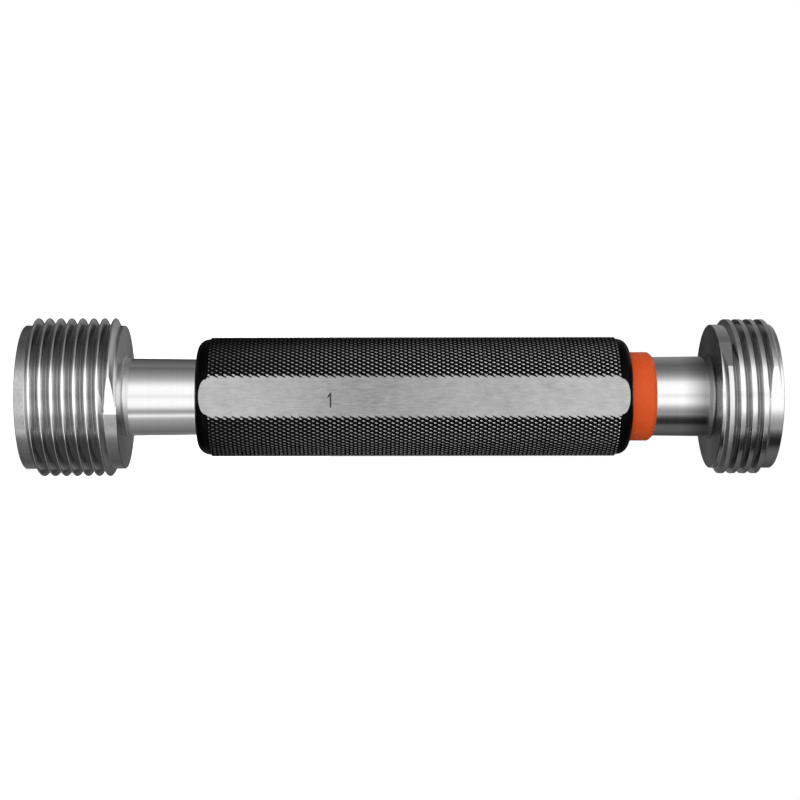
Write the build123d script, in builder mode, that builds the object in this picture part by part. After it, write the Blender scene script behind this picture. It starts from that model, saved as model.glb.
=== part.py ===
from build123d import *
from math import cos, radians, sin, tan
import os

# Thread plug gauge for a 1 inch parallel pipe thread, in millimetres.
# It stands on the end face of its GO plug and Z runs along the axis to the NO-GO end.
# The bright flat of the handle faces -Y, which is called the front below.

# Thread: 55 degrees between the flanks, 11 turns to the inch
inch = 25.4
turns_per_inch = 11
flank_half_angle = 27.5
depth_per_pitch = 0.640327
major_diameter = 33.249
root_relief = 0.15

# The NO-GO thread is larger at the flanks, and its crests are cut down to a flat
nogo_pitch_allowance = 0.18
nogo_crest_height = 0.225

# Plugs
go_plug_length = 20.85
nogo_plug_length = 12.5
edge_chamfer = 0.12

# Heights at which the first crest passes the front, above each plug's lower face
go_first_crest = 3.17
nogo_first_crest = 1.7

# Milled flats that end each thread: their turn from the front, and depth below the roots
go_start_turn = -180
go_exit_turn = 10.6
nogo_start_turn = -44
nogo_exit_turn = 0
run_out_depth = 0.02

# Necks, and the taper shanks that continue them into the handle
taper = 1 / 40
go_mouth_diameter = 15.9
nogo_mouth_diameter = 16.4
go_neck_length = 15.25
nogo_neck_length = 12.1
shank_length = 28
shank_chamfer = 0.8
neck_fillet = 2.2

# Handle: plain rounded ends, and between them a band that the knurling raises
handle_length = 90.1
handle_end_diameter = 24.3
handle_end_radius = 2.5
knurl_land = 0.1
knurl_rise = 0.35
flat_depth = 0.9
bore_clearance = 0.02
bore_end_room = 1.5
bore_mouth_chamfer = 0.3

# Marker ring, with a tapered nose
ring_length = 5.1
ring_wall = 1
ring_nose_length = 0.95
ring_nose_wall = 0.1
ring_clearance = 0.05

# Centre holes in the end faces, from which the threads are ground
centre_drill_diameter = 2.5
centre_mouth_diameter = 6.4
centre_depth = 6.5
centre_angle = 60

# The foot of each ridge is sunk into the core by this much, so that the two join
ridge_sink = 0.15

# Thread sizes that follow from the major diameter and the pitch
thread_pitch = inch / turns_per_inch
thread_depth = depth_per_pitch * thread_pitch
go_crest_radius = major_diameter / 2
go_pitch_radius = go_crest_radius - thread_depth / 2
nogo_pitch_radius = go_pitch_radius + nogo_pitch_allowance / 2
nogo_crest_radius = nogo_pitch_radius + nogo_crest_height
core_radius = go_crest_radius - thread_depth - root_relief / 2

# Heights along the axis
handle_bottom = go_plug_length + go_neck_length
handle_top = handle_bottom + handle_length
ring_top = handle_top + ring_length
nogo_bottom = ring_top + nogo_neck_length
nogo_top = nogo_bottom + nogo_plug_length


def outward(turn):
    """Radial direction at a turn from the front, in degrees towards +X."""
    return Vector(sin(radians(turn)), -cos(radians(turn)), 0)


def turns_past_front(plug_length, first_crest):
    """Whole turns that fit above the first crest, with half a pitch left for the rim."""
    return int((plug_length - first_crest) / thread_pitch - 1 / 2)


def thread_ridge(pitch_radius, crest_radius, turns):
    """One right-hand ridge that starts on +X: its axial profile swept up the helix."""
    slope = tan(radians(flank_half_angle))
    foot_radius = core_radius - ridge_sink
    crest_half = thread_pitch / 4 - (crest_radius - pitch_radius) * slope
    foot_half = thread_pitch / 4 + (pitch_radius - foot_radius) * slope
    with BuildPart() as ridge:
        with BuildLine():
            Helix(pitch=thread_pitch, height=turns * thread_pitch, radius=pitch_radius)
        with BuildSketch(Plane.XZ):
            with BuildLine():
                Polyline(
                    (foot_radius, -foot_half),
                    (crest_radius, -crest_half),
                    (crest_radius, crest_half),
                    (foot_radius, foot_half),
                    close=True,
                )
            make_face()
        sweep(is_frenet=True)
    return ridge.part


def run_out_block(turn, bottom, top):
    """Block to mill away, whose inner face just touches the thread roots."""
    flat_plane = Plane(
        origin=outward(turn) * (core_radius - run_out_depth),
        x_dir=(0, 0, 1),
        z_dir=outward(turn),
    )
    with BuildPart() as block:
        with BuildSketch(flat_plane):
            with Locations(((bottom + top) / 2, 0)):
                Rectangle(top - bottom, 2 * core_radius)
        extrude(amount=core_radius)
    return block.part


def shank_radius(mouth_diameter, depth):
    """Radius of a taper shank at a depth into the handle, or of its neck at a minus depth."""
    return mouth_diameter / 2 - depth * taper / 2


# GO member: threaded plug, neck and taper shank turned from one bar
go_turns = turns_past_front(go_plug_length, go_first_crest)
go_start_crest = go_first_crest + go_start_turn / 360 * thread_pitch
go_exit_crest = go_first_crest + (go_turns + go_exit_turn / 360) * thread_pitch
go_ridge = thread_ridge(
    go_pitch_radius, go_crest_radius, go_turns + (go_exit_turn - go_start_turn) / 360
)
go_start_block = run_out_block(
    go_start_turn,
    -edge_chamfer,
    go_start_crest + thread_pitch / 2,
)
go_exit_block = run_out_block(
    go_exit_turn,
    go_exit_crest - thread_pitch / 2,
    go_plug_length + edge_chamfer,
)
go_neck_radius = shank_radius(go_mouth_diameter, -go_neck_length)
go_shank_top = handle_bottom + shank_length

with BuildPart() as go_member:
    with BuildSketch(Plane.XZ):
        with BuildLine():
            Polyline(
                (0, 0),
                (core_radius, 0),
                (core_radius, go_plug_length),
                (go_neck_radius, go_plug_length),
                (shank_radius(go_mouth_diameter, shank_length), go_shank_top),
                (0, go_shank_top),
                close=True,
            )
        make_face()
        chamfer(vertices().group_by(Axis.X)[-1], length=edge_chamfer)
        shank_end = vertices().group_by(Axis.Y)[-1].sort_by(Axis.X)[-1]
        chamfer(shank_end, length=shank_chamfer)
        neck_root = vertices().sort_by_distance((go_neck_radius, go_plug_length))[0]
        fillet(neck_root, radius=neck_fillet)
    revolve(axis=Axis.Z)
    with Locations(Location((0, 0, go_start_crest), (0, 0, go_start_turn - 90))):
        add(go_ridge)
    add(go_start_block, mode=Mode.SUBTRACT)
    add(go_exit_block, mode=Mode.SUBTRACT)
    with Locations(faces().sort_by(Axis.Z)[0]):
        CounterSinkHole(
            radius=centre_drill_diameter / 2,
            counter_sink_radius=centre_mouth_diameter / 2,
            depth=centre_depth,
            counter_sink_angle=centre_angle,
        )

# NO-GO member: the same, the other way up, with a shorter thread and flat crests
nogo_turns = turns_past_front(nogo_plug_length, nogo_first_crest)
nogo_start_crest = nogo_bottom + nogo_first_crest + nogo_start_turn / 360 * thread_pitch
nogo_exit_crest = nogo_bottom + nogo_first_crest
nogo_exit_crest += (nogo_turns + nogo_exit_turn / 360) * thread_pitch
nogo_ridge = thread_ridge(
    nogo_pitch_radius, nogo_crest_radius, nogo_turns + (nogo_exit_turn - nogo_start_turn) / 360
)
nogo_start_block = run_out_block(
    nogo_start_turn,
    nogo_bottom - edge_chamfer,
    nogo_start_crest + thread_pitch / 2,
)
nogo_exit_block = run_out_block(
    nogo_exit_turn,
    nogo_exit_crest - thread_pitch / 2,
    nogo_top + edge_chamfer,
)
nogo_neck_radius = shank_radius(nogo_mouth_diameter, handle_top - nogo_bottom)
nogo_shank_bottom = handle_top - shank_length

with BuildPart() as nogo_member:
    with BuildSketch(Plane.XZ):
        with BuildLine():
            Polyline(
                (0, nogo_shank_bottom),
                (shank_radius(nogo_mouth_diameter, shank_length), nogo_shank_bottom),
                (nogo_neck_radius, nogo_bottom),
                (core_radius, nogo_bottom),
                (core_radius, nogo_top),
                (0, nogo_top),
                close=True,
            )
        make_face()
        chamfer(vertices().group_by(Axis.X)[-1], length=edge_chamfer)
        shank_end = vertices().group_by(Axis.Y)[0].sort_by(Axis.X)[-1]
        chamfer(shank_end, length=shank_chamfer)
        neck_root = vertices().sort_by_distance((nogo_neck_radius, nogo_bottom))[0]
        fillet(neck_root, radius=neck_fillet)
    revolve(axis=Axis.Z)
    with Locations(Location((0, 0, nogo_start_crest), (0, 0, nogo_start_turn - 90))):
        add(nogo_ridge)
    add(nogo_start_block, mode=Mode.SUBTRACT)
    add(nogo_exit_block, mode=Mode.SUBTRACT)
    with Locations(faces().sort_by(Axis.Z)[-1]):
        CounterSinkHole(
            radius=centre_drill_diameter / 2,
            counter_sink_radius=centre_mouth_diameter / 2,
            depth=centre_depth,
            counter_sink_angle=centre_angle,
        )

# Handle: a bar with a blind taper bore in each end and one bright flat along the front
end_edge = handle_end_diameter / 2
knurl_edge = end_edge + knurl_rise
knurl_bottom = handle_bottom + handle_end_radius + knurl_land
knurl_top = handle_top - handle_end_radius - knurl_land
bore_depth = shank_length + bore_end_room


def bore_radius(mouth_diameter, depth):
    """Radius of a taper bore at a depth into the handle."""
    return shank_radius(mouth_diameter, depth) + bore_clearance


def bore_section(mouth_diameter, mouth_height, inward):
    """Corners of a blind bore's half section. Inward is 1 for a bore that runs up, else -1."""
    return [
        (0, mouth_height),
        (bore_radius(mouth_diameter, 0) + bore_mouth_chamfer, mouth_height),
        (
            bore_radius(mouth_diameter, bore_mouth_chamfer),
            mouth_height + inward * bore_mouth_chamfer,
        ),
        (bore_radius(mouth_diameter, bore_depth), mouth_height + inward * bore_depth),
        (0, mouth_height + inward * bore_depth),
    ]


with BuildPart() as handle:
    with BuildSketch(Plane.XZ):
        with BuildLine():
            Polyline(
                (0, handle_bottom),
                (end_edge, handle_bottom),
                (end_edge, knurl_bottom),
                (knurl_edge, knurl_bottom + knurl_rise),
                (knurl_edge, knurl_top - knurl_rise),
                (end_edge, knurl_top),
                (end_edge, handle_top),
                (0, handle_top),
                close=True,
            )
        make_face()
        lower_corner = vertices().sort_by_distance((end_edge, handle_bottom))[0]
        upper_corner = vertices().sort_by_distance((end_edge, handle_top))[0]
        fillet([lower_corner, upper_corner], radius=handle_end_radius)
    revolve(axis=Axis.Z)
    with BuildSketch(Plane.XZ):
        with BuildLine():
            Polyline(*bore_section(go_mouth_diameter, handle_bottom, 1), close=True)
        make_face()
    revolve(axis=Axis.Z, mode=Mode.SUBTRACT)
    with BuildSketch(Plane.XZ):
        with BuildLine():
            Polyline(*bore_section(nogo_mouth_diameter, handle_top, -1), close=True)
        make_face()
    revolve(axis=Axis.Z, mode=Mode.SUBTRACT)
    with BuildSketch(Plane.XZ.offset(knurl_edge - flat_depth)):
        with Locations((0, (handle_bottom + handle_top) / 2)):
            Rectangle(2 * knurl_edge, handle_length)
    extrude(amount=knurl_edge, mode=Mode.SUBTRACT)

# Marker ring: slips over the NO-GO neck and sits against the end of the handle
ring_bore_radius = shank_radius(nogo_mouth_diameter, -ring_length) + ring_clearance

with BuildPart() as marker_ring:
    with BuildSketch(Plane.XZ):
        with BuildLine():
            Polyline(
                (ring_bore_radius, handle_top),
                (ring_bore_radius + ring_wall, handle_top),
                (ring_bore_radius + ring_wall, ring_top - ring_nose_length),
                (ring_bore_radius + ring_nose_wall, ring_top),
                (ring_bore_radius, ring_top),
                close=True,
            )
        make_face()
    revolve(axis=Axis.Z)

os.makedirs("parts", exist_ok=True)
go_member.part.label = "go_member"
export_step(go_member.part, "parts/go_member.step")
nogo_member.part.label = "nogo_member"
export_step(nogo_member.part, "parts/nogo_member.step")
handle.part.label = "handle"
export_step(handle.part, "parts/handle.step")
marker_ring.part.label = "marker_ring"
export_step(marker_ring.part, "parts/marker_ring.step")
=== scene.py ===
import random
from math import atan2, ceil, cos, degrees, floor, hypot, pi, radians, sin, tan

import bpy
from mathutils import Matrix, Vector


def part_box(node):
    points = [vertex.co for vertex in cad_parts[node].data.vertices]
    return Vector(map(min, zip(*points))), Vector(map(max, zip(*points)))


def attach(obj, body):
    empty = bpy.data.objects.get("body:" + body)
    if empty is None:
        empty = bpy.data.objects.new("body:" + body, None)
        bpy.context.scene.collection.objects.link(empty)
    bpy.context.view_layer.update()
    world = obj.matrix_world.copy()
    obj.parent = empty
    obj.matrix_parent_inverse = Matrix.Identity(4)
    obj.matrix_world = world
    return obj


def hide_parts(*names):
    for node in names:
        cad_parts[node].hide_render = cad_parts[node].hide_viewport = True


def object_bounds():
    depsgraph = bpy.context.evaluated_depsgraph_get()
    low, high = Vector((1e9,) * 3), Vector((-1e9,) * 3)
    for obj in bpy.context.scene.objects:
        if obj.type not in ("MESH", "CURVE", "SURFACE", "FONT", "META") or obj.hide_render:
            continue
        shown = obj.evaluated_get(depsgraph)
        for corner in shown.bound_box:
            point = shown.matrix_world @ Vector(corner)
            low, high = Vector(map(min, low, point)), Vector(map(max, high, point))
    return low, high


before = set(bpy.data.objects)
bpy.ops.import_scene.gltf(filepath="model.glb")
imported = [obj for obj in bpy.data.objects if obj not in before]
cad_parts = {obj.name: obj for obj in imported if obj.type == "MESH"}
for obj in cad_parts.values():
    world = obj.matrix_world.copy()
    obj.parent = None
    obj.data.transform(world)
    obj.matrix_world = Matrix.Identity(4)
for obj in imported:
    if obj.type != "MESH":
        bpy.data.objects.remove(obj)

# The CAD model's box, from before any piece is added
cad_low, cad_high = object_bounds()

# Lengths are in metres. A turn is an angle round the axis, from the front (-Y) towards +X
mm = 0.001

# Heights and sizes read from the frame
go_low, go_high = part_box("go_member")
_, nogo_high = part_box("nogo_member")
handle_low, handle_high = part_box("handle")
ring_low, ring_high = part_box("marker_ring")

# Thread form: 55 degrees between the flanks, with Whitworth rounding, on a plain core. A flank has
# points of its own at three shares of its length
thread_pitch = 25.4 / 11 * mm
flank_half_angle = radians(27.5)
sharp_height = 0.960491 * thread_pitch
whitworth_rounding = 0.137329 * thread_pitch
flank_shares = (0.08, 0.5, 0.92)
core_radius = 15.071 * mm
edge_chamfer = 0.12 * mm

# GO plug. Its thread starts and ends at turns in degrees, counted along the helix
go_length = 20.85 * mm
go_crest_radius = go_high.x
go_pitch_radius = 15.885 * mm
go_first_crest = 3.17 * mm
go_start_turn = -180
go_last_turn = 7 * 360 + 10.6

# NO-GO plug, with crests cut down to a flat
nogo_length = 12.5 * mm
nogo_top = nogo_high.z
nogo_bottom = nogo_top - nogo_length
nogo_crest_radius = 16.2 * mm
nogo_crest_edge = 0.07 * mm
nogo_pitch_radius = 15.975 * mm
nogo_first_crest = nogo_bottom + 1.7 * mm
nogo_start_turn = -44
nogo_last_turn = 4 * 360

# Distance from the axis of the flats that end each thread
run_out_distance = core_radius - 0.02 * mm

# Beyond this radius a plug's flat faces are turned, not ground, and so are the GO plug's plain bands
turned_radius = 10.6 * mm

# Necks and taper shanks. The fillets are smaller than those of the solids, so that the plugs' inner
# faces mirror the bright necks, and the neck beside each fillet is left as turned
taper = 1 / 40
go_mouth_radius = 15.9 / 2 * mm
nogo_mouth_radius = 16.4 / 2 * mm
shank_length = 28 * mm
shank_chamfer = 0.8 * mm
neck_fillet = 0.6 * mm
turned_length = 1.3 * mm

# Distances from the NO-GO plug's inner face between which its neck's colour goes from bright to a painted
# shade
neck_shade_start = 6.6 * mm
neck_shade_end = 2.2 * mm

# Centre holes in the end faces
centre_drill_radius = 1.25 * mm
centre_mouth_radius = 3.2 * mm
centre_depth = 6.5 * mm
centre_half_angle = radians(30)

# Handle and its knurling: two families of grooves that cross, with the tips rolled flat. A tip's
# length and width are shares of the length and width of its diamond
handle_bottom = handle_low.z
handle_top = handle_high.z
handle_end_radius = 12.15 * mm
handle_end_rounding = 2.5 * mm
flat_distance = -handle_low.y
knurl_crest_radius = handle_high.x
knurl_valley_radius = 12.2 * mm
knurl_shallow_radius = 12.36 * mm
knurl_starts = 84
knurl_start_angle = 2 * pi / knurl_starts
knurl_axial_pitch = 1.717 * mm
knurl_tip_length = 0.42
knurl_tip_width = 0.24
knurl_tip_share = (knurl_tip_length + knurl_tip_width) / 2
knurl_unevenness = 0.012 * mm
knurl_seed = 7
knurl_land = 0.1 * mm
bore_clearance = 0.02 * mm
bore_end_room = 1.5 * mm
bore_mouth_chamfer = 0.3 * mm

# Wear that leaves the knurl's tips bright: the depths below the crest where it ends and where it is
# full, and its share at the GO end and the height where it is full. On the -X side painted shade
# dims the tips: the share left there, and the places on X between which the shade fades out
wear_end_depth = 0.04 * mm
wear_full_depth = 0.02 * mm
wear_at_go_end = 0.11
wear_full_height = handle_bottom + 0.6 * (handle_top - handle_bottom)
side_shade_share = 0.1
side_shade_start = -11.6 * mm
side_shade_end = -8.8 * mm

# Number engraved on the flat: a stem, with a flag that comes down from its top
engraving_height = 64.04 * mm
engraving_middle = 0.66 * mm
engraving_size = 3.1 * mm
engraving_stroke = 0.32 * mm
engraving_flag_drop = 0.75 * mm
engraving_flag_reach = 0.6 * mm
engraving_flag_width = 1.6 * engraving_stroke
engraving_depth = 0.12 * mm

# Marker ring, with a cone for a nose
ring_clearance = 0.05 * mm
ring_nose_length = 0.95 * mm
ring_nose_wall = 0.1 * mm
ring_shoulder = 0.8 * mm
ring_edge = 0.12 * mm

# Fineness of the meshes: columns round the axis, and steps of an arc
plug_columns = 240
ring_columns = 160
arc_steps = 8
handle_arc_steps = 10
ring_edge_steps = 4

# Angles between faces from which an edge is shaded as sharp
sharp_angle = radians(32)
ring_sharp_angle = radians(40)

# How far a cutter stands out of the handle, and how far off a face, the core or a turn in degrees
# something may lie and still count as on it
cutter_margin = 1 * mm
face_tolerance = 0.005 * mm
core_tolerance = 0.001 * mm
turn_tolerance = 0.01

# How square to a direction a face lies that counts as facing it, for a cut flat and an end face
cut_flat_facing = 0.999
end_face_facing = 0.9

# Places of the steels in a plug's list of materials, and of two more materials in the handle's
ground_slot, thread_slot, milled_slot, turned_slot, fillet_slot, lit_face_slot, shaded_fillet_slot = range(7)
satin_slot = 1
fill_slot = 2


# Mesh building

def new_object(name, points, faces):
    mesh = bpy.data.meshes.new(name)
    mesh.from_pydata(points, [], faces)
    made = bpy.data.objects.new(name, mesh)
    bpy.context.scene.collection.objects.link(made)
    return made


def outward(turn):
    """Radial direction at a turn in radians."""
    return Vector((sin(turn), -cos(turn), 0))


class RoundMesh:
    """A closed mesh made of rings of points round the axis, from the lowest to the highest."""

    def __init__(self, turns):
        self.turns = turns
        self.points = []
        self.faces = []
        self.flat_faces = set()
        self.face_slots = {}

    def point(self, turn, radius, height):
        self.points.append((radius * sin(turn), -radius * cos(turn), height))
        return len(self.points) - 1

    def ring(self, radius, height):
        return [self.point(turn, radius, height) for turn in self.turns]

    def face(self, corners, flat=False):
        """Adds a face, less the corners that fall together."""
        distinct = list(dict.fromkeys(corners))
        if len(distinct) > 2:
            if flat:
                self.flat_faces.add(len(self.faces))
            self.faces.append(distinct)

    def band(self, lower, upper, flat=False):
        for i in range(len(lower)):
            j = (i + 1) % len(lower)
            self.face([lower[i], lower[j], upper[j], upper[i]], flat)

    def outline(self, profile, below=None):
        """Rings at the (radius, height) points of a profile, joined to each other and the ring below."""
        for radius, height in profile:
            ring = self.ring(radius, height)
            if below:
                self.band(below, ring)
            below = ring
        return below

    def cap(self, ring, height, above):
        """Closes a ring with a fan to the axis. Above says whether the material lies above it."""
        centre = self.point(0, 0, height)
        for i in range(len(ring)):
            j = (i + 1) % len(ring)
            ends = [ring[j], ring[i]] if above else [ring[i], ring[j]]
            self.face([*ends, centre])

    def build(self, name, materials):
        piece = new_object(name, self.points, self.faces)
        for polygon in piece.data.polygons:
            polygon.use_smooth = polygon.index not in self.flat_faces
            polygon.material_index = self.face_slots.get(polygon.index, 0)
        for material in materials:
            piece.data.materials.append(material)
        return piece


def even_turns(count):
    return [2 * pi * i / count - pi for i in range(count)]


def arc(centre, radius, start, end, steps):
    """Points of an arc in the (radius, height) plane, between two angles in degrees."""
    angles = [radians(start + (end - start) * i / steps) for i in range(steps + 1)]
    return [(centre[0] + radius * cos(a), centre[1] + radius * sin(a)) for a in angles]


# Threads

def thread_profile(pitch_radius, crest_radius, crest_edge):
    """(offset, radius) points from one valley to the next. Crest_edge is None for a round crest."""
    flank_normal = pi / 2 - flank_half_angle
    steps = [flank_normal * i / arc_steps for i in range(arc_steps + 1)]
    valley_rounding = core_radius - (pitch_radius - sharp_height / 2)
    valley_rounding /= 1 / sin(flank_half_angle) - 1
    valley = [
        (-thread_pitch / 2 + valley_rounding * sin(a), core_radius + valley_rounding * (1 - cos(a)))
        for a in steps
    ]
    if crest_edge is None:
        rounding = whitworth_rounding
        centre = 0
    else:
        rounding = crest_edge
        crest_half = thread_pitch / 4 - (crest_radius - pitch_radius) * tan(flank_half_angle)
        centre = -crest_half + rounding * tan(flank_normal / 2)
    crest = [
        (centre - rounding * sin(a), crest_radius - rounding * (1 - cos(a)))
        for a in reversed(steps)
    ]
    flank = [
        tuple(v + (c - v) * share for v, c in zip(valley[-1], crest[0]))
        for share in flank_shares
    ]
    half = valley + flank + crest
    other_half = [(-offset, radius) for offset, radius in reversed(half)]
    if crest_edge is None:
        other_half = other_half[1:]
    return half + other_half[:-1]


def add_thread(mesh, low_ring, high_ring, low, high, first_crest, start_turn, last_turn, profile):
    """Fills the plug between two rings. Its rows of points follow the helix, cut off at the rings.

    The outer flanks of the first and last turn are left unpolished.
    """
    per_pitch = len(profile)
    columns = len(mesh.turns)
    made = {}

    def travelled(row, column):
        """Turn in degrees, counted along the helix."""
        return 360 * (row // per_pitch) + degrees(mesh.turns[column])

    def corner(row, column):
        if column == columns:
            row, column = row + per_pitch, 0
        crest, sample = divmod(row, per_pitch)
        turn = mesh.turns[column]
        offset, radius = profile[sample]
        height = first_crest + thread_pitch * (crest + turn / (2 * pi)) + offset
        if height <= low:
            return low_ring[column]
        if height >= high:
            return high_ring[column]
        if (row, column) not in made:
            along = travelled(row, column)
            if not start_turn - turn_tolerance <= along <= last_turn + turn_tolerance:
                radius = core_radius
            made[row, column] = mesh.point(turn, radius, height)
        return made[row, column]

    def outer_flank(row, column):
        """Whether a face lies outside the groove, on the first turn's low flank or the last's high one."""
        if 2 * (row % per_pitch) < per_pitch:
            return travelled(row, column) < start_turn + 360
        return travelled(row, column) > last_turn - 360

    first_row = (floor((low - first_crest) / thread_pitch) - 1) * per_pitch
    last_row = (ceil((high - first_crest) / thread_pitch) + 1) * per_pitch
    for row in range(first_row, last_row):
        for column in range(columns):
            corners = [
                corner(row, column),
                corner(row, column + 1),
                corner(row + 1, column + 1),
                corner(row + 1, column),
            ]
            if any(hypot(*mesh.points[i][:2]) > core_radius + core_tolerance for i in corners):
                slot_index = fillet_slot if outer_flank(row, column) else thread_slot
                mesh.face_slots[len(mesh.faces)] = slot_index
            mesh.face(corners)


# Cutting

# Signs of a square's corners, in turn
corner_signs = ((-1, -1), (1, -1), (1, 1), (-1, 1))


def cutter_block(turn, distance, bottom, top, reach):
    """Block whose inner face lies at a distance from the axis, square to the radial direction.

    It reaches as far out from that face as to either side.
    """
    out = outward(turn)
    side = Vector((cos(turn), sin(turn), 0))
    up = Vector((0, 0, 1))
    corners = [
        out * (distance + reach * k) + side * reach * i + up * (bottom if j < 0 else top)
        for k in (0, 1)
        for i, j in corner_signs
    ]
    faces = [(3, 2, 1, 0), (4, 5, 6, 7)]
    faces += [(i, (i + 1) % 4, (i + 1) % 4 + 4, i + 4) for i in range(4)]
    return new_object("cutter", corners, faces)


def cut(piece, cutters):
    """Takes the cutters out of a piece, and deletes them."""
    for cutter in cutters:
        modifier = piece.modifiers.new("cut", "BOOLEAN")
        modifier.operation = "DIFFERENCE"
        modifier.solver = "EXACT"
        modifier.object = cutter
    evaluated = piece.evaluated_get(bpy.context.evaluated_depsgraph_get())
    mesh = bpy.data.meshes.new_from_object(evaluated)
    piece.modifiers.clear()
    piece.data = mesh
    for cutter in cutters:
        bpy.data.objects.remove(cutter)


def cut_thread_ends(piece, bottom, top, first_crest, start_turn, last_turn):
    """Cuts the flats on which a thread starts and runs out into a plug between two heights."""
    start_crest = first_crest + start_turn / 360 * thread_pitch
    exit_crest = first_crest + last_turn / 360 * thread_pitch
    spans = [
        (start_turn, bottom - edge_chamfer, start_crest + thread_pitch / 2),
        (last_turn, exit_crest - thread_pitch / 2, top + edge_chamfer),
    ]
    cut(piece, [
        cutter_block(radians(turn), run_out_distance, low, high, core_radius)
        for turn, low, high in spans
    ])


def finish_cut_face(piece, turn, distance, slot_index):
    """Shades the face that a block left as flat, in one of the piece's materials."""
    out = outward(turn)
    for polygon in piece.data.polygons:
        off_face = abs(polygon.center.dot(out) - distance)
        if polygon.normal.dot(out) > cut_flat_facing and off_face < face_tolerance:
            polygon.use_smooth = False
            polygon.material_index = slot_index


def finish_turned_faces(piece, below):
    """Shades a plug's flat faces, and the plain bands that lie below a height, as turned."""
    for polygon in piece.data.polygons:
        plain = polygon.material_index == ground_slot and hypot(*polygon.center[:2]) > turned_radius
        if plain and (abs(polygon.normal.z) > end_face_facing or polygon.center.z < below):
            polygon.material_index = turned_slot


def finish_inner_face(piece, height):
    """Gives the turned face of the GO plug that lies above a height the turned steel painted lighter, a
    painted reflection.
    """
    for polygon in piece.data.polygons:
        if polygon.material_index == turned_slot and polygon.center.z > height:
            polygon.material_index = lit_face_slot


def finish_fillet(piece, face_height, away, slot_index):
    """Shades a fillet and the turned stretch of neck behind it, away from the plug's inner face."""
    for polygon in piece.data.polygons:
        rise = away * (polygon.center.z - face_height)
        if 0 < rise < turned_length and hypot(*polygon.center[:2]) < turned_radius:
            polygon.material_index = slot_index


def finish_engraving(piece):
    """Shades the floor and the walls of the engraved number as filled."""
    for polygon in piece.data.polygons:
        inset = polygon.center.y + flat_distance
        near = hypot(polygon.center.x, polygon.center.z - engraving_height) < engraving_size
        if near and face_tolerance < inset < engraving_depth + face_tolerance:
            polygon.material_index = fill_slot
            polygon.use_smooth = False


# Materials

# Values that a noise mostly lies between, and a narrower range of them that gives more contrast
noise_range = (0.3, 0.7)
narrow_range = (0.35, 0.65)

# Rotation of the anisotropy that draws a highlight out across the rings
across_rings = 0.25

# The sockets of a colour mix: its factor and its two colours, and the colour that comes out
mix_inputs = (0, 6, 7)
mix_output = 2


class Graph:
    """A node tree that is written as calls, each of which gives the socket it makes."""

    def __init__(self, tree):
        self.tree = tree
        self.tree.nodes.clear()

    def node(self, kind, inputs=None, **settings):
        made = self.tree.nodes.new(kind)
        for name, value in settings.items():
            setattr(made, name, value)
        for name, value in (inputs or {}).items():
            self.feed(made.inputs[name], value)
        return made

    def feed(self, socket, value):
        if isinstance(value, bpy.types.NodeSocket):
            self.tree.links.new(value, socket)
        else:
            socket.default_value = value

    def math(self, operation, first, second=0.0, third=0.0):
        made = self.node("ShaderNodeMath", operation=operation)
        for socket, value in zip(made.inputs, (first, second, third)):
            self.feed(socket, value)
        return made.outputs[0]

    def product(self, first, second):
        return self.math("MULTIPLY", first, second)

    def blend(self, first, second, share):
        """Mean of two values, where the share is the weight of the first."""
        return self.math("ADD", self.product(first, share), self.product(second, 1 - share))

    def distance(self, x, y):
        """Distance from the origin of the point at x and y."""
        squares = self.math("ADD", self.product(x, x), self.product(y, y))
        return self.math("SQRT", squares)

    def scaled(self, value, low, high, new_low, new_high):
        made = self.node("ShaderNodeMapRange", {
            "Value": value,
            "From Min": low,
            "From Max": high,
            "To Min": new_low,
            "To Max": new_high,
        })
        return made.outputs["Result"]

    def spread(self, noise, low, high):
        """Value that goes from low to high over a noise's range."""
        return self.scaled(noise, *noise_range, low, high)

    def vector(self, x, y, z):
        return self.node("ShaderNodeCombineXYZ", {"X": x, "Y": y, "Z": z}).outputs[0]

    def noise(self, vector, scale, detail=2.0, roughness=0.5):
        made = self.node("ShaderNodeTexNoise", {
            "Vector": vector,
            "Scale": scale,
            "Detail": detail,
            "Roughness": roughness,
        })
        return made.outputs["Fac"]

    def ramp(self, value, stops):
        """Colour ramp through (position, value) stops, where a value is a grey or a colour."""
        made = self.node("ShaderNodeValToRGB", {"Fac": value})
        elements = made.color_ramp.elements
        while len(elements) < len(stops):
            elements.new(0.5)
        for element, (position, shade) in zip(elements, stops):
            element.position = position
            rgb = shade if isinstance(shade, tuple) else (shade, shade, shade)
            element.color = (*rgb, 1)
        return made.outputs["Color"]

    def shades(self, noise, dark, light, limits=noise_range):
        """Colour or grey that goes from dark to light over a noise's range."""
        return self.ramp(noise, list(zip(limits, (dark, light))))

    def mix(self, factor, first, second):
        made = self.node("ShaderNodeMix", data_type="RGBA")
        for index, value in zip(mix_inputs, (factor, first, second)):
            self.feed(made.inputs[index], value)
        return made.outputs[mix_output]

    def bump(self, height, distance):
        made = self.node("ShaderNodeBump", {"Height": height, "Distance": distance, "Strength": 1.0})
        return made.outputs["Normal"]

    def position(self):
        """X, Y and Z of the shaded point, in millimetres."""
        place = self.node("ShaderNodeTexCoord").outputs["Object"]
        split = self.node("ShaderNodeSeparateXYZ", {"Vector": place})
        return [self.product(split.outputs[i], 1 / mm) for i in range(3)]

    def place(self):
        """The shaded point, in millimetres, so that a noise's scale is per millimetre."""
        return self.vector(*self.position())

    def round_position(self):
        """Distance from the axis, turn in radians and height of the shaded point, in millimetres."""
        x, y, z = self.position()
        return self.distance(x, y), self.math("ARCTAN2", y, x), z


def new_material(name):
    material = bpy.data.materials.new(name)
    material.use_nodes = True
    return material, Graph(material.node_tree)


def surface(g, **inputs):
    """Principled surface. Its inputs are given by name, with _ for each space."""
    named = {name.replace("_", " "): value for name, value in inputs.items()}
    shader = g.node("ShaderNodeBsdfPrincipled", named)
    g.node("ShaderNodeOutputMaterial", {"Surface": shader.outputs["BSDF"]})


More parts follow.
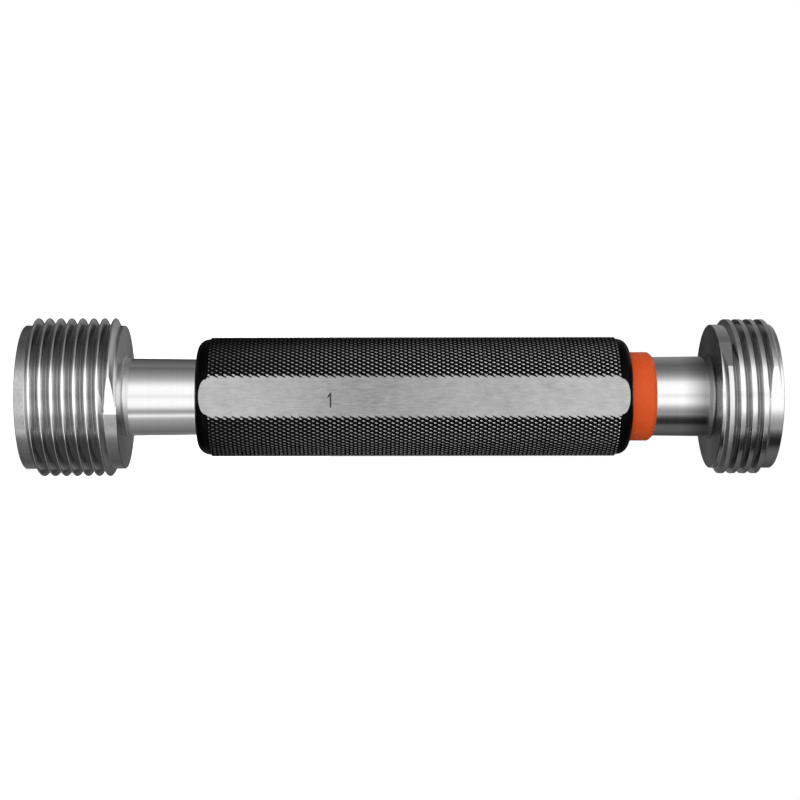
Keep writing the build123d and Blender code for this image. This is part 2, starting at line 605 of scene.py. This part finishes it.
def ring_noise(g, scale, scale_round, detail, roughness):
    """Noise drawn out into rings, with one scale per millimetre and one per radian round the axis."""
    radius, turn, height = g.round_position()
    drawn_out = g.vector(
        g.product(radius, scale), g.product(turn, scale_round), g.product(height, scale)
    )
    return g.noise(drawn_out, scale=1.0, detail=detail, roughness=roughness)


def grinding_lines(g):
    """Fine and coarse rings round the axis, left by the grinding wheel."""
    fine = ring_noise(g, scale=14.0, scale_round=1.6, detail=3.0, roughness=0.6)
    coarse = ring_noise(g, scale=2.2, scale_round=0.8, detail=2.0, roughness=0.5)
    return g.blend(fine, coarse, share=0.6)


def ringed_surface(g, lines, colour, roughness, stretch, depth):
    """Steel worked round the axis: fine rings in the surface draw the highlights out."""
    surface(
        g,
        Base_Color=colour,
        Metallic=1.0,
        Roughness=roughness,
        Anisotropic=stretch,
        Anisotropic_Rotation=across_rings,
        Tangent=g.node("ShaderNodeTangent", direction_type="RADIAL", axis="Z").outputs[0],
        Normal=g.bump(lines, depth),
    )


def ground_steel():
    """Hardened steel, ground to a polish, with painted shade that darkens the neck beside the NO-GO plug.
    """
    material, g = new_material("ground_steel")
    lines = grinding_lines(g)
    height = g.position()[2]
    shade_from = (nogo_bottom - neck_shade_start) / mm
    shade_to = (nogo_bottom - neck_shade_end) / mm
    # Painted shade: the colour darkens over the neck towards the NO-GO plug
    painted_shade = g.product(
        g.scaled(height, shade_from, shade_to, 0.0, 1.0),
        g.math("LESS_THAN", height, nogo_bottom / mm),
    )
    bright = g.shades(lines, (0.78, 0.78, 0.785), (0.85, 0.85, 0.855))
    colour = g.mix(painted_shade, bright, (0.32, 0.32, 0.325, 1))
    ringed_surface(g, lines, colour, g.spread(lines, 0.1, 0.15), stretch=0.65, depth=0.001 * mm)
    return material


def thread_steel():
    """Ground thread, its colour painted lighter towards the crests and darker down into the roots: painted
    highlight and painted shade.
    """
    material, g = new_material("thread_steel")
    lines = grinding_lines(g)
    radius = g.round_position()[0]
    rise = g.scaled(radius, core_radius / mm, go_crest_radius / mm, 0.0, 1.0)
    # Painted highlight and shade: the colour goes from dark in the roots to white on the crests
    painted_depth_shade = g.ramp(rise, [
        (0.0, (0.27, 0.27, 0.272)), (0.08, (0.44, 0.44, 0.445)), (0.3, (0.53, 0.53, 0.535)),
        (0.55, (0.6, 0.6, 0.605)), (0.85, (1.0, 1.0, 1.0)),
    ])
    colour = g.mix(g.spread(lines, 0.0, 0.08), painted_depth_shade, (0.9, 0.9, 0.9, 1))
    ringed_surface(g, lines, colour, g.spread(lines, 0.1, 0.15), stretch=0.75, depth=0.002 * mm)
    return material


def mottled_steel(name, line_share, scale, dark, light, roughness, stretch, depth):
    """Turned steel: rings round the axis, and a mottle over them whose scale is per millimetre."""
    material, g = new_material(name)
    lines = grinding_lines(g)
    mottle = g.noise(g.place(), scale, detail=4.0, roughness=0.65)
    both = g.blend(lines, mottle, line_share)
    colour = g.shades(both, dark, light, narrow_range)
    ringed_surface(g, lines, colour, g.spread(both, *roughness), stretch, depth)
    return material


def turned_steel():
    """Turned bands and faces of a plug: duller than the ground parts."""
    return mottled_steel(
        "turned_steel", line_share=0.4, scale=1.1, dark=(0.37, 0.37, 0.375),
        light=(0.58, 0.58, 0.585), roughness=(0.22, 0.36), stretch=0.7, depth=0.003 * mm,
    )


def lit_face_steel():
    """Inner face of the GO plug: turned steel, a little smoother, painted lighter than the other turned
    faces as a painted reflection of the bright neck.
    """
    return mottled_steel(
        "lit_face_steel", line_share=0.5, scale=0.9, dark=(0.72, 0.72, 0.725),
        light=(0.88, 0.88, 0.885), roughness=(0.2, 0.28), stretch=0.8, depth=0.002 * mm,
    )


def fillet_steel(name, dark, light):
    """Fillets and outer flanks, left as the tool made them: rings round the axis, and no polish."""
    material, g = new_material(name)
    lines = grinding_lines(g)
    surface(
        g,
        Base_Color=g.shades(lines, dark, light),
        Metallic=1.0,
        Roughness=g.spread(lines, 0.34, 0.42),
        Normal=g.bump(lines, 0.002 * mm),
    )
    return material


def milled_steel():
    """Flats that end each thread, finished almost to a mirror."""
    material, g = new_material("milled_steel")
    grain = g.noise(g.place(), scale=5.0, detail=3.0, roughness=0.6)
    surface(
        g,
        Base_Color=g.shades(grain, 0.86, 0.92),
        Metallic=1.0,
        Roughness=g.spread(grain, 0.14, 0.2),
        Normal=g.bump(grain, 0.001 * mm),
    )
    return material


def knurl_wear_and_shade(g):
    """Share of bright steel: on the tips only, fewer towards the GO end, uneven, and held down on the -X
    side by painted shade.
    """
    radius, _, height = g.round_position()
    across = g.position()[0]
    tip_start = (knurl_crest_radius - wear_end_depth) / mm
    tip_end = (knurl_crest_radius - wear_full_depth) / mm
    tip = g.scaled(radius, tip_start, tip_end, 0.0, 1.0)
    end_fade_and_side_shade = g.product(
        g.scaled(height, handle_bottom / mm, wear_full_height / mm, wear_at_go_end, 1.0),
        # Painted shade: fewer bright tips on the -X side
        g.scaled(across, side_shade_start / mm, side_shade_end / mm, side_shade_share, 1.0),
    )
    patches = g.noise(g.place(), scale=0.35, detail=3.0, roughness=0.6)
    return g.product(tip, g.product(end_fade_and_side_shade, g.spread(patches, 0.8, 1.0)))


def black_oxide():
    """Blackened steel, worn bright on the tips of the knurling, with the tips on the -X side dimmed by
    painted shade.
    """
    material, g = new_material("black_oxide")
    wear_and_shade = knurl_wear_and_shade(g)
    grain = g.noise(g.place(), scale=9.0, detail=3.0, roughness=0.6)
    surface(
        g,
        Base_Color=g.mix(wear_and_shade, (0.002, 0.002, 0.0021, 1), (0.9, 0.9, 0.905, 1)),
        Metallic=wear_and_shade,
        Roughness=g.spread(grain, 0.26, 0.36),
        Specular_IOR_Level=0.05,
        Normal=g.bump(grain, 0.004 * mm),
    )
    return material


def satin_steel():
    """Bright milled flat with a fine satin finish along its length."""
    material, g = new_material("satin_steel")
    x, y, z = g.position()
    drawn_out = g.vector(g.product(x, 5.0), y, g.product(z, 0.45))
    streaks = g.noise(drawn_out, scale=1.0, detail=4.0, roughness=0.7)
    grain = g.noise(g.place(), scale=7.0, detail=4.0, roughness=0.7)
    stretched = g.vector(x, y, g.product(z, 0.6))
    patches = g.noise(stretched, scale=0.9, detail=3.0, roughness=0.6)
    both = g.blend(streaks, grain, share=0.7)
    tone = g.blend(both, patches, share=0.6)
    surface(
        g,
        Base_Color=g.shades(tone, 0.38, (0.55, 0.55, 0.555), narrow_range),
        Metallic=1.0,
        Roughness=g.spread(both, 0.09, 0.14),
        Normal=g.bump(both, 0.0015 * mm),
    )
    return material


def engraved_fill():
    """Dark walls and floor of the engraved number."""
    material, g = new_material("engraved_fill")
    grain = g.noise(g.place(), scale=12.0, detail=3.0, roughness=0.6)
    surface(g, Base_Color=g.shades(grain, 0.02, 0.06), Roughness=0.7)
    return material


def gloss_orange():
    """Glossy orange-red plastic, with faint moulding unevenness."""
    material, g = new_material("gloss_orange")
    tone = g.noise(g.place(), scale=0.5)
    ripple = g.noise(g.place(), scale=1.4)
    surface(
        g,
        Base_Color=g.shades(tone, (0.765, 0.099, 0.021), (0.805, 0.107, 0.025)),
        Roughness=g.spread(ripple, 0.24, 0.3),
        Specular_IOR_Level=0.12,
        Normal=g.bump(ripple, 0.004 * mm),
    )
    return material


# Pieces

def neck(mouth_radius, mouth_height, face_height):
    """Profile from the plug's inner face along the neck and shank, as (radius, height) points."""
    away = 1 if mouth_height > face_height else -1

    def radius_at(height):
        return mouth_radius - away * (height - mouth_height) * taper / 2

    fillet_end = face_height + away * neck_fillet
    fillet_centre = (radius_at(fillet_end) + neck_fillet, fillet_end)
    fillet = arc(fillet_centre, neck_fillet, -90 * away, -180 * away, arc_steps)
    turned_end = face_height + away * turned_length
    shank_end = mouth_height + away * shank_length
    chamfer_start = shank_end - away * shank_chamfer
    return fillet + [
        (radius_at(turned_end), turned_end),
        (radius_at(mouth_height), mouth_height),
        (radius_at(chamfer_start), chamfer_start),
        (radius_at(shank_end) - shank_chamfer, shank_end),
    ]


def centre_hole(face_height, inward):
    """Profile of the centre hole, from its floor out to its mouth in the end face."""
    cone_depth = (centre_mouth_radius - centre_drill_radius) / tan(centre_half_angle)
    return [
        (centre_drill_radius, face_height + inward * centre_depth),
        (centre_drill_radius, face_height + inward * cone_depth),
        (centre_mouth_radius, face_height),
    ]


def make_go_member(steels):
    mesh = RoundMesh(even_turns(plug_columns))
    low = go_low.z + edge_chamfer
    high = go_length - edge_chamfer
    hole = centre_hole(go_low.z, 1)
    first = mesh.ring(*hole[0])
    mesh.cap(first, hole[0][1], above=True)
    rim = [(core_radius - edge_chamfer, go_low.z), (core_radius, low)]
    low_ring = mesh.outline(hole[1:] + rim, first)
    high_ring = mesh.ring(core_radius, high)
    add_thread(
        mesh, low_ring, high_ring, low, high, go_first_crest, go_start_turn, go_last_turn,
        thread_profile(go_pitch_radius, go_crest_radius, None),
    )
    stem = [(core_radius - edge_chamfer, go_length)]
    stem += neck(go_mouth_radius, handle_bottom, go_length)
    mesh.cap(mesh.outline(stem, high_ring), stem[-1][1], above=False)
    piece = mesh.build("go_member_detailed", steels)
    cut_thread_ends(piece, go_low.z, go_length, go_first_crest, go_start_turn, go_last_turn)
    piece.data.set_sharp_from_angle(angle=sharp_angle)
    finish_turned_faces(piece, go_length)
    finish_fillet(piece, go_length, 1, fillet_slot)
    # The GO plug's inner face gets the turned steel painted lighter: a painted reflection of the bright
    # neck
    finish_inner_face(piece, high)
    for turn in (go_start_turn, go_last_turn):
        finish_cut_face(piece, radians(turn), run_out_distance, milled_slot)
    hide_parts("go_member")
    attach(piece, "root")


def make_nogo_member(steels):
    mesh = RoundMesh(even_turns(plug_columns))
    low = nogo_bottom + edge_chamfer
    high = nogo_top - edge_chamfer
    stem = neck(nogo_mouth_radius, handle_top, nogo_bottom)[::-1]
    stem += [(core_radius - edge_chamfer, nogo_bottom), (core_radius, low)]
    first = mesh.ring(*stem[0])
    mesh.cap(first, stem[0][1], above=True)
    low_ring = mesh.outline(stem[1:], first)
    high_ring = mesh.ring(core_radius, high)
    add_thread(
        mesh, low_ring, high_ring, low, high, nogo_first_crest, nogo_start_turn, nogo_last_turn,
        thread_profile(nogo_pitch_radius, nogo_crest_radius, nogo_crest_edge),
    )
    hole = centre_hole(nogo_top, -1)[::-1]
    last = mesh.outline([(core_radius - edge_chamfer, nogo_top)] + hole, high_ring)
    mesh.cap(last, hole[-1][1], above=False)
    piece = mesh.build("nogo_member_detailed", steels)
    cut_thread_ends(piece, nogo_bottom, nogo_top, nogo_first_crest, nogo_start_turn, nogo_last_turn)
    piece.data.set_sharp_from_angle(angle=sharp_angle)
    finish_turned_faces(piece, 0)
    # The NO-GO plug's fillet gets the fillet steel painted darker: painted shade
    finish_fillet(piece, nogo_bottom, -1, shaded_fillet_slot)
    for turn in (nogo_start_turn, nogo_last_turn):
        finish_cut_face(piece, radians(turn), run_out_distance, milled_slot)
    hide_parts("nogo_member")
    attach(piece, "root")


def add_knurl(mesh, bottom, half_rows, row_height, chance):
    """Rows of flat-tipped diamonds between deep right-hand and shallow left-hand grooves.

    Rows and steps count half pitches along and round the handle. Gives the lowest and highest row
    of points, in turn order.
    """
    steps_round = 2 * knurl_starts
    step_angle = knurl_start_angle / 2
    crossings = {}
    shallows = {}
    tips = {}

    def valley(row, step):
        """Crossing of two grooves."""
        key = (row, step % steps_round)
        if key not in crossings:
            turn = key[1] * step_angle - pi
            crossings[key] = mesh.point(turn, knurl_valley_radius, bottom + row * row_height)
        return crossings[key]

    def shallow(row, step):
        """Middle of the shallow groove on the far side of the diamond at a row and step."""
        key = (row, step % steps_round)
        if key not in shallows:
            turn = (key[1] + 0.5) * step_angle - pi
            height = bottom + (row + 0.5) * row_height
            shallows[key] = mesh.point(turn, knurl_shallow_radius, height)
        return shallows[key]

    def tip_corners(row, step):
        """East, upper, west and lower corners of the flat tip, drawn out along the deep grooves."""
        key = (row, step % steps_round)
        if key not in tips:
            turn = key[1] * step_angle - pi
            height = bottom + row * row_height
            radius = knurl_crest_radius - chance.uniform(0, knurl_unevenness)
            reach = knurl_tip_share
            slant = (knurl_tip_length - knurl_tip_width) / 2 if 0 < row < half_rows else 0.0
            tips[key] = (
                mesh.point(turn + reach * step_angle, radius, height + slant * row_height),
                mesh.point(turn + slant * step_angle, radius, height + reach * row_height)
                if row < half_rows else None,
                mesh.point(turn - reach * step_angle, radius, height - slant * row_height),
                mesh.point(turn - slant * step_angle, radius, height - reach * row_height)
                if row > 0 else None,
            )
        return tips[key]

    for row in range(half_rows + 1):
        for step in range(row % 2, steps_round, 2):
            east, upper, west, lower = tip_corners(row, step)
            right = valley(row, step + 1)
            left = valley(row, step - 1)
            if row < half_rows:
                above = valley(row + 1, step)
                middle = shallow(row, step)
                mesh.face([right, middle, east], flat=True)
                mesh.face([middle, upper, east], flat=True)
                mesh.face([middle, above, upper], flat=True)
                mesh.face([above, left, west, upper], flat=True)
            if row > 0:
                below = valley(row - 1, step)
                middle = shallow(row - 1, step - 1)
                mesh.face([left, middle, west], flat=True)
                mesh.face([middle, lower, west], flat=True)
                mesh.face([middle, below, lower], flat=True)
                mesh.face([below, right, east, lower], flat=True)
            mesh.face([corner for corner in (east, upper, west, lower) if corner is not None], flat=True)

    def edge(row):
        points = []
        for step in range(row % 2, steps_round, 2):
            east, _, west, _ = tip_corners(row, step)
            points += [valley(row, step - 1), west, east]
        return points

    return edge(0), edge(half_rows)


def bore(mouth_radius, mouth_height, inward):
    """Profile of a taper bore, from its floor out to its mouth in the handle's end."""
    depth = shank_length + bore_end_room
    wall = mouth_radius + bore_clearance
    return [
        (wall - depth * taper / 2, mouth_height + inward * depth),
        (wall - bore_mouth_chamfer * taper / 2, mouth_height + inward * bore_mouth_chamfer),
        (wall + bore_mouth_chamfer, mouth_height),
    ]


def rounded_end(end_height, inward):
    """Profile of the handle's rounded edge, from its end face to its side."""
    centre = (handle_end_radius - handle_end_rounding, end_height + inward * handle_end_rounding)
    return arc(centre, handle_end_rounding, -90 * inward, 0, handle_arc_steps)


def make_handle(black, satin, fill):
    rise = knurl_crest_radius - handle_end_radius
    knurl_bottom = handle_bottom + handle_end_rounding + knurl_land
    knurl_top = handle_top - handle_end_rounding - knurl_land
    knurl_length = knurl_top - knurl_bottom - 2 * rise
    half_rows = 2 * round(knurl_length / knurl_axial_pitch)
    half_tip = knurl_tip_share / 2
    turns = [
        (start + offset) * knurl_start_angle - pi
        for start in range(knurl_starts)
        for offset in (-0.5, -half_tip, half_tip)
    ]
    mesh = RoundMesh(turns)
    knurl_low, knurl_high = add_knurl(
        mesh, knurl_bottom + rise, half_rows, knurl_length / half_rows, random.Random(knurl_seed)
    )
    lower_bore = bore(go_mouth_radius, handle_bottom, 1)
    first = mesh.ring(*lower_bore[0])
    mesh.cap(first, lower_bore[0][1], above=False)
    lower_profile = lower_bore[1:] + rounded_end(handle_bottom, 1) + [(handle_end_radius, knurl_bottom)]
    mesh.band(mesh.outline(lower_profile, first), knurl_low, flat=True)
    upper_start = mesh.ring(handle_end_radius, knurl_top)
    mesh.band(knurl_high, upper_start, flat=True)
    upper_bore = bore(nogo_mouth_radius, handle_top, -1)[::-1]
    last = mesh.outline(rounded_end(handle_top, -1)[::-1] + upper_bore, upper_start)
    mesh.cap(last, upper_bore[-1][1], above=True)
    piece = mesh.build("handle_detailed", [black, satin, fill])
    flat_bottom = handle_bottom - cutter_margin
    flat_top = handle_top + cutter_margin
    cut(piece, [
        cutter_block(0, flat_distance, flat_bottom, flat_top, knurl_crest_radius),
        numeral_one(engraving_height, engraving_middle),
    ])
    piece.data.set_sharp_from_angle(angle=sharp_angle)
    finish_cut_face(piece, 0, flat_distance, satin_slot)
    finish_engraving(piece)
    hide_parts("handle")
    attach(piece, "root")


def numeral_one(height, x):
    """Cutter for a plain 1 that reads along the gauge, with its top towards -X."""
    top = x - engraving_size / 2
    foot = top + engraving_size
    half = engraving_stroke / 2
    slant = half * engraving_flag_drop / engraving_flag_reach
    flag_tip = top + engraving_flag_drop
    outline = [
        (top, half), (foot, half), (foot, -half), (top + engraving_flag_width + slant, -half),
        (flag_tip + engraving_flag_width, -engraving_flag_reach), (flag_tip, -engraving_flag_reach),
        (top + slant, -half),
    ]
    levels = (-flat_distance + engraving_depth, -flat_distance - cutter_margin)
    count = len(outline)
    points = [(down, y, height + along) for y in levels for down, along in outline]
    faces = [tuple(range(count)), tuple(range(2 * count - 1, count - 1, -1))]
    faces += [(i, i + count, (i + 1) % count + count, (i + 1) % count) for i in range(count)]
    return new_object("cutter", points, faces)


def make_marker_ring(orange):
    bore_radius = nogo_mouth_radius + (ring_high.z - ring_low.z) * taper / 2 + ring_clearance
    outer_radius = ring_high.x
    tip_radius = bore_radius + ring_nose_wall
    cone_turn = atan2(ring_nose_length, outer_radius - tip_radius)
    shoulder_reach = ring_shoulder * tan((pi / 2 - cone_turn) / 2)
    shoulder = arc(
        (outer_radius - ring_shoulder, ring_high.z - ring_nose_length - shoulder_reach),
        ring_shoulder, 0, 90 - degrees(cone_turn), arc_steps,
    )
    mesh = RoundMesh(even_turns(ring_columns))
    edge = (outer_radius - ring_edge, ring_low.z + ring_edge)
    profile = arc(edge, ring_edge, -90, 0, ring_edge_steps) + shoulder
    profile += [(tip_radius, ring_high.z), (bore_radius, ring_high.z), (bore_radius, ring_low.z)]
    last = mesh.outline(profile)
    mesh.band(last, list(range(ring_columns)))
    piece = mesh.build("marker_ring_detailed", [orange])
    piece.data.set_sharp_from_angle(angle=ring_sharp_angle)
    piece.visible_glossy = False
    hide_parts("marker_ring")
    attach(piece, "root")


# The steels, in the order of their slots
steels = [
    ground_steel(), thread_steel(), milled_steel(), turned_steel(),
    # The last steel here is the fillet steel painted darker, as painted shade
    fillet_steel("fillet_steel", 0.8, 0.88), lit_face_steel(), fillet_steel("shaded_fillet_steel", 0.3, 0.36),
]
make_go_member(steels)
make_nogo_member(steels)
make_handle(black_oxide(), satin_steel(), engraved_fill())
make_marker_ring(gloss_orange())


# Floor, light and camera

# Floor: half its width, its grey, and its level in the photo near the gauge, which grows to white
# between two distances from the axis
floor_reach = 3.0
floor_grey = 0.6
floor_level = 0.75
floor_fade_start = 60 * mm
floor_fade_end = 300 * mm


def pale_floor():
    """Pale floor that keeps the shadow. Reflections look past it, at the studio round the gauge."""
    material, g = new_material("pale_floor")
    ray = g.node("ShaderNodeLightPath")
    matt = g.node("ShaderNodeBsdfDiffuse", {"Color": (floor_grey, floor_grey, floor_grey, 1)})
    radius = g.round_position()[0]
    fade = g.scaled(radius, floor_fade_start / mm, floor_fade_end / mm, floor_level, 1.0)
    glow = g.node("ShaderNodeEmission", {
        "Color": (1, 1, 1, 1),
        "Strength": g.product(ray.outputs["Is Camera Ray"], fade),
    })
    lit = g.node("ShaderNodeAddShader")
    g.feed(lit.inputs[0], matt.outputs[0])
    g.feed(lit.inputs[1], glow.outputs[0])
    clear = g.node("ShaderNodeBsdfTransparent")
    choice = g.node("ShaderNodeMixShader", {"Fac": ray.outputs["Is Glossy Ray"]})
    g.feed(choice.inputs[1], lit.outputs[0])
    g.feed(choice.inputs[2], clear.outputs[0])
    g.node("ShaderNodeOutputMaterial", {"Surface": choice.outputs[0]})
    return material


floor_corners = [(x * floor_reach, y * floor_reach, 0) for x, y in corner_signs]
ground = new_object("floor", floor_corners, [(0, 1, 2, 3)])
ground.data.materials.append(pale_floor())

# Brightness of the studio round the gauge, by the turn in degrees from the front towards -X, which
# is up in the photo. The first table holds towards the GO end and the second towards the NO-GO
# end. All levels of the studio are chosen from what the photo's steel shows
studio_low_side = [
    (-180, 0.14), (-145, 0.22), (-129, 0.15), (-116, 0.2), (-96, 0.28), (-88, 0.34), (-80, 0.38),
    (-72, 0.44), (-65, 0.66), (-58, 1.15), (-52, 0.62), (-46, 0.33), (-39, 0.54), (-32, 0.98),
    (-24, 1.2), (-8, 1.2), (2, 1.02), (12, 1.2), (30, 1.2), (40, 0.92), (52, 0.55), (66, 0.36),
    (80, 0.25), (97, 0.14), (106, 0.2), (140, 0.1), (165, 0.05), (180, 0.05),
]
studio_high_side = [
    (-180, 0.1), (-145, 0.07), (-122, 0.11), (-102, 0.13), (-93, 0.1), (-84, 0.02), (-72, 0.02),
    (-64, 0.07), (-58, 0.2), (-52, 0.36), (-46, 0.34), (-38, 0.44), (-30, 0.7), (-20, 1.2),
    (-10, 1.3), (2, 1.05), (12, 1.3), (27, 1.3), (40, 1.15), (51, 0.67), (64, 0.36), (79, 0.2),
    (104, 0.14), (130, 0.22), (150, 0.26), (180, 0.16),
]
# Share of that brightness by the lift in degrees above the level: in front, and to the sides
front_by_lift = [
    (-90, 0.9), (-62, 1.0), (-40, 1.0), (2, 1.0), (3.2, 0.84), (4, 0.79), (5.4, 0.8), (6.6, 1.0),
    (40, 1.0), (62, 0.85), (90, 0.7),
]
sides_by_lift = [
    (-90, 0.2), (-60, 0.1), (-34, 0.05), (-20, 0.35), (-13, 1.0), (13, 1.0), (20, 0.35), (34, 0.05),
    (60, 0.1), (90, 0.2),
]
# How far the table in front counts, rather than that to the sides, by turn
front_share = [(-62, 0.0), (-48, 1.0), (48, 1.0), (62, 0.0)]

# Lifts between which the table of the GO end gives way to that of the NO-GO end
low_side_end = radians(-3)
high_side_start = radians(6)

# Level that white stands for in the ramps of the first two tables
brightest = 2.0

# Dark lens in the middle of the front: the angles of its core and edge, and the share of light in
# its core
lens_core = radians(0.2)
lens_edge = radians(3.4)
lens_share = 0.35

# Soft lights: the direction of each, the angles in degrees at which it ends and is full, and its
# level. In the photo one is high up towards the NO-GO end and one low in front towards the GO end
soft_lights = [
    (Vector((-0.49, -0.1, 0.87)), 45, 20, 0.25),
    (Vector((0.69, -0.58, -0.44)), 18, 8, 1.0),
]

# Light from behind, where the white background stands: its share by turn, and its level by lift
back_share = [
    (-180, 0.8), (-165, 0.4), (-150, 0.3), (-125, 0.0), (125, 0.0), (150, 1.0), (180, 1.0),
]
back_by_lift = [
    (-90, 0.1), (-60, 0.14), (-32, 0.1), (-22, 0.0), (20, 0.0), (34, 0.42), (65, 0.42), (90, 0.2),
]

# Greatest turn and lift of a table, in degrees
turn_limit = 180
lift_limit = 90


def by_angle(g, angle, limit, stops, top_level=1.0):
    """Ramp over an angle in radians, through (degrees, level) stops, as a share of the top level."""
    share = g.scaled(angle, -radians(limit), radians(limit), 0.0, 1.0)
    places = [((stop + limit) / (2 * limit), level / top_level) for stop, level in stops]
    return g.ramp(share, places)


def table_light(g, turn, lift):
    """Brightness by the studio's tables, with the dark lens in the middle of the front."""
    by_turn = g.mix(
        g.scaled(lift, low_side_end, high_side_start, 0.0, 1.0),
        by_angle(g, turn, turn_limit, studio_low_side, brightest),
        by_angle(g, turn, turn_limit, studio_high_side, brightest),
    )
    by_lift = g.mix(
        by_angle(g, turn, turn_limit, front_share),
        by_angle(g, lift, lift_limit, sides_by_lift),
        by_angle(g, lift, lift_limit, front_by_lift),
    )
    lens = g.scaled(g.distance(turn, lift), lens_core, lens_edge, lens_share, 1.0)
    return g.product(g.product(by_turn, by_lift), g.product(lens, brightest))


def soft_light(g, direction, middle, edge, core, level):
    """Round patch of light that is full within its core and fades out to its edge."""
    nearness = g.node(
        "ShaderNodeVectorMath", {0: direction, 1: middle.normalized()}, operation="DOT_PRODUCT"
    ).outputs["Value"]
    return g.scaled(nearness, cos(radians(edge)), cos(radians(core)), 0.0, level)


def light_studio():
    """World: white to the camera, and to everything else a soft front light in a dim room."""
    world = bpy.data.worlds.new("studio")
    bpy.context.scene.world = world
    world.use_nodes = True
    g = Graph(world.node_tree)
    direction = g.node("ShaderNodeTexCoord").outputs["Generated"]
    x, y, z = g.node("ShaderNodeSeparateXYZ", {"Vector": direction}).outputs
    turn = g.math("ARCTAN2", g.product(x, -1.0), g.product(y, -1.0))
    lift = g.math("ARCSINE", z)
    behind = g.product(
        by_angle(g, turn, turn_limit, back_share),
        by_angle(g, lift, lift_limit, back_by_lift),
    )
    level = g.math("ADD", table_light(g, turn, lift), behind)
    for light in soft_lights:
        level = g.math("ADD", level, soft_light(g, direction, *light))
    ray = g.node("ShaderNodeLightPath").outputs["Is Camera Ray"]
    strength = g.scaled(ray, 0.0, 1.0, level, 1.0)
    background = g.node("ShaderNodeBackground", {"Color": (1, 1, 1, 1), "Strength": strength})
    g.node("ShaderNodeOutputWorld", {"Surface": background.outputs[0]})


light_studio()


def add_lamp(name, place, target, size, watts):
    """Soft square lamp that lights matt surfaces only, because steel shows the studio instead."""
    lamp = bpy.data.lights.new(name, "AREA")
    lamp.size = size
    lamp.energy = watts
    holder = bpy.data.objects.new(name, lamp)
    holder.location = place
    holder.rotation_euler = (Vector(target) - Vector(place)).to_track_quat("-Z", "Y").to_euler()
    holder.visible_glossy = False
    bpy.context.scene.collection.objects.link(holder)


gauge_middle = Vector((0, 0, (cad_low.z + cad_high.z) / 2))
add_lamp("ceiling_light", place=(0, -0.2, 1.5), target=gauge_middle, size=1.4, watts=20)
add_lamp("front_light", place=(-0.6, -1.3, 0.35), target=gauge_middle, size=1.0, watts=2.6)

# Camera, turned on its side so that the gauge lies as in the photo. Photo_centre is the pixel that
# the camera's own axis meets
photo_size = 800
photo_focal_pixels = 1762
photo_centre = (367, 396.8)
camera_distance = 371 * mm
camera_height = 71.5 * mm
camera_roll = radians(0.084)
nearest_seen = 10 * mm
sensor_width = 36

camera_data = bpy.data.cameras.new("camera")
camera_data.sensor_width = sensor_width
camera_data.lens = photo_focal_pixels / photo_size * sensor_width
camera_data.shift_x = (photo_size / 2 - photo_centre[0]) / photo_size
camera_data.shift_y = (photo_centre[1] - photo_size / 2) / photo_size
camera_data.clip_start = nearest_seen
camera = bpy.data.objects.new("camera", camera_data)
facing = Matrix(((0, -1, 0), (0, 0, -1), (1, 0, 0)))
camera.matrix_world = (
    Matrix.Translation((0, -camera_distance, camera_height))
    @ Matrix.Rotation(camera_roll, 4, "Y")
    @ facing.to_4x4()
)
bpy.context.scene.collection.objects.link(camera)
bpy.context.scene.camera = camera
bpy.context.scene.view_settings.view_transform = "Standard"
